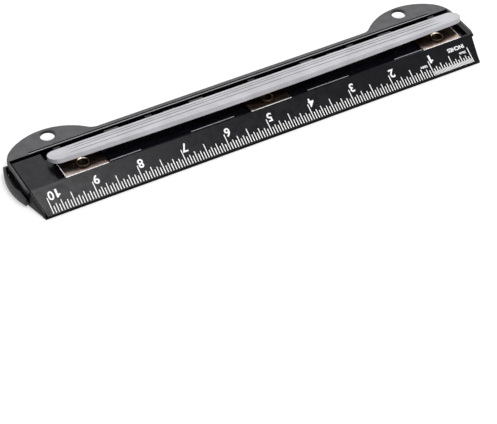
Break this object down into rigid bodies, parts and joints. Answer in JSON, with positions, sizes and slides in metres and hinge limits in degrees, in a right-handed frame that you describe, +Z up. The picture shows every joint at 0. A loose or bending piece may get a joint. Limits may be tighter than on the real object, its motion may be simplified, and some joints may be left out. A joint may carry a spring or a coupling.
{
  "type": "three hole punch",
  "caption": "Slim desk punch that clips into a ring binder: a ruler face with a sprung lever behind it presses round punches through sheets, and a chip tray slides out.",
  "frame": {"origin": "On the underside of the bottom cover, below the middle of the body's length and depth", "axes": "+X to the right along the ruler, +Y to the rear towards the binder ears, +Z up"},
  "size_m": [0.2761, 0.0545, 0.0175],
  "materials": {
    "black_plastic": "satin moulded black",
    "dark_plastic": "matte moulded black",
    "grey_plastic": "silver grey moulding with a soft shine",
    "plated_steel": "bright plated sheet steel",
    "bright_steel": "plain bright steel",
    "tool_steel": "hardened ground steel",
    "brass": "plain brass"
  },
  "bodies": {
    "body": {"housing": "black_plastic", "ruler_cover": "black_plastic", "binder_frame": "black_plastic", "bottom_cover": "dark_plastic", "hinge_rod": "bright_steel", "punch_bracket_left": "plated_steel", "punch_bracket_centre": "plated_steel", "punch_bracket_right": "plated_steel", "die_plate_left": "bright_steel", "die_plate_centre": "bright_steel", "die_plate_right": "bright_steel", "lever_spring_left": "bright_steel", "lever_spring_right": "bright_steel", "cover_screw_1": "bright_steel", "cover_screw_2": "bright_steel", "cover_screw_3": "bright_steel", "cover_screw_4": "bright_steel", "frame_screw_1": "bright_steel", "frame_screw_2": "bright_steel", "frame_screw_3": "bright_steel", "frame_screw_4": "bright_steel", "frame_screw_5": "bright_steel", "bottom_screw_1": "bright_steel", "bottom_screw_2": "bright_steel", "bottom_screw_3": "bright_steel", "bottom_screw_4": "bright_steel"},
    "lever": {"lever": "grey_plastic", "lever_bar": "bright_steel", "drive_hook_left": "brass", "drive_hook_centre": "brass", "drive_hook_right": "brass"},
    "punch_left": {"punch_left": "tool_steel"},
    "punch_centre": {"punch_centre": "tool_steel"},
    "punch_right": {"punch_right": "tool_steel"},
    "tray": {"chip_tray": "dark_plastic"}
  },
  "joints": [
    {"name": "lever_hinge", "type": "hinge", "parent": "body", "child": "lever", "pos_m": [0.0071, 0.01445, 0.0088], "axis": [1, 0, 0], "range_deg": [0, 12.5], "stiffness_Nm_per_rad": 0.1, "springref_deg": -20.05, "deforming": ["lever_spring_left", "lever_spring_right"]},
    {"name": "punch_left_slide", "type": "slide", "parent": "body", "child": "punch_left", "axis": [0, 0, -1], "range_m": [0, 0.0028]},
    {"name": "punch_centre_slide", "type": "slide", "parent": "body", "child": "punch_centre", "axis": [0, 0, -1], "range_m": [0, 0.0028]},
    {"name": "punch_right_slide", "type": "slide", "parent": "body", "child": "punch_right", "axis": [0, 0, -1], "range_m": [0, 0.0028]},
    {"name": "tray_slide", "type": "slide", "parent": "body", "child": "tray", "axis": [-1, 0, 0], "range_m": [0, 0.24]}
  ],
  "couplings": [
    {"joint": "punch_left_slide", "follows": "lever_hinge", "m_per_rad": 0.0126},
    {"joint": "punch_centre_slide", "follows": "lever_hinge", "m_per_rad": 0.0126},
    {"joint": "punch_right_slide", "follows": "lever_hinge", "m_per_rad": 0.0126}
  ]
}
